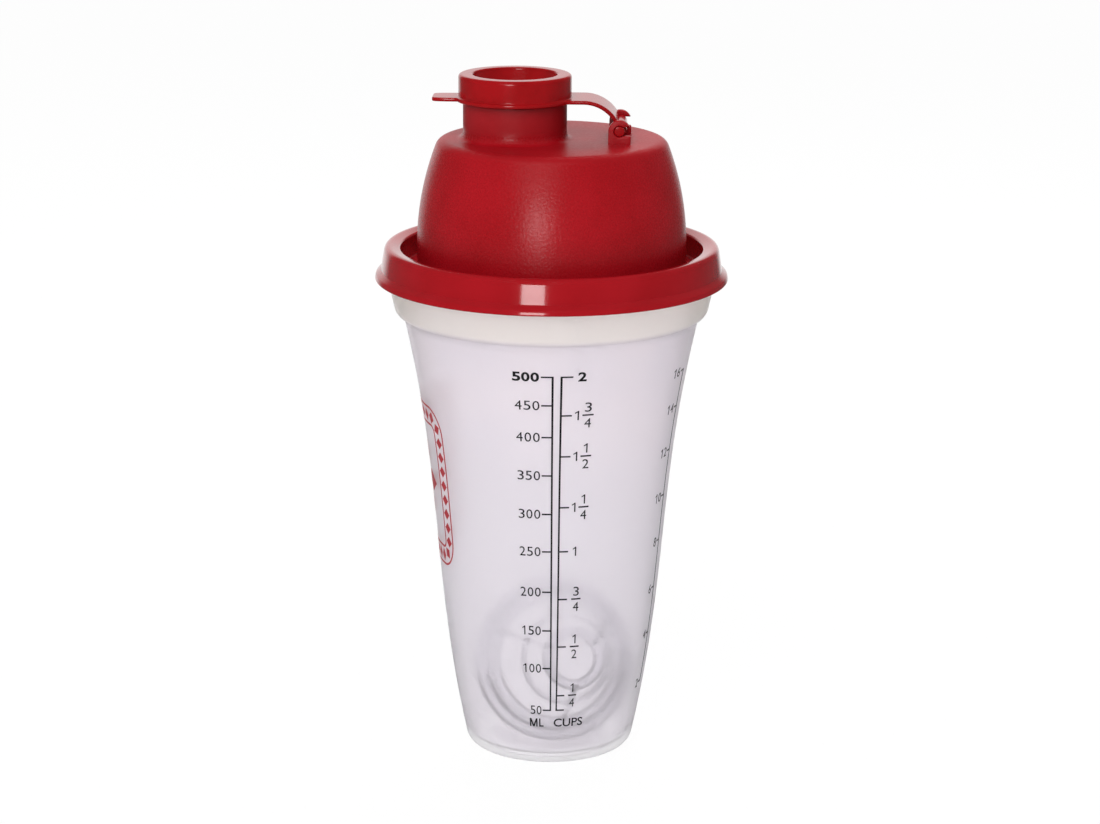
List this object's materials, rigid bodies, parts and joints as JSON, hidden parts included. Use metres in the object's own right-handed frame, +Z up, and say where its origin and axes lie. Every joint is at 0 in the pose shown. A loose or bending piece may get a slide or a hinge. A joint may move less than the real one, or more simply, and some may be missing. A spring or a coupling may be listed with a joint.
{
  "type": "shaker bottle",
  "caption": "Tapered batter shaker with a press-on domed lid, a pouring spout under a hinged flip cap, and a loose mixing wheel in the cup.",
  "frame": {"origin": "centre of the base, on the surface the cup stands on", "axes": "+Z up along the cup's axis, +X from the spout towards the cap's hinge, -Y to the front with the measuring scale"},
  "size_m": [0.1112, 0.1112, 0.2178],
  "materials": {
    "cup_frosted": "frosted translucent",
    "lid_red": "satin with a fine grain on the dome",
    "cap_red": "gloss",
    "wheel_natural": "natural translucent"
  },
  "bodies": {
    "cup": {"cup": "cup_frosted"},
    "lid": {"lid": "lid_red"},
    "cap": {"flip_cap": "cap_red"},
    "wheel": {"mixing_wheel": "wheel_natural"}
  },
  "joints": [
    {"name": "lid_lift", "type": "slide", "parent": "cup", "child": "lid", "axis": [0, 0, 1], "range_m": [0, 0.06]},
    {"name": "cap_flip", "type": "hinge", "parent": "lid", "child": "cap", "pos_m": [0.021, 0, 0.2018], "axis": [0, 1, 0], "range_deg": [0, 145]},
    {"name": "wheel_rattle", "type": "slide", "parent": "cup", "child": "wheel", "axis": [0, 0, 1], "range_m": [0, 0.14]}
  ]
}
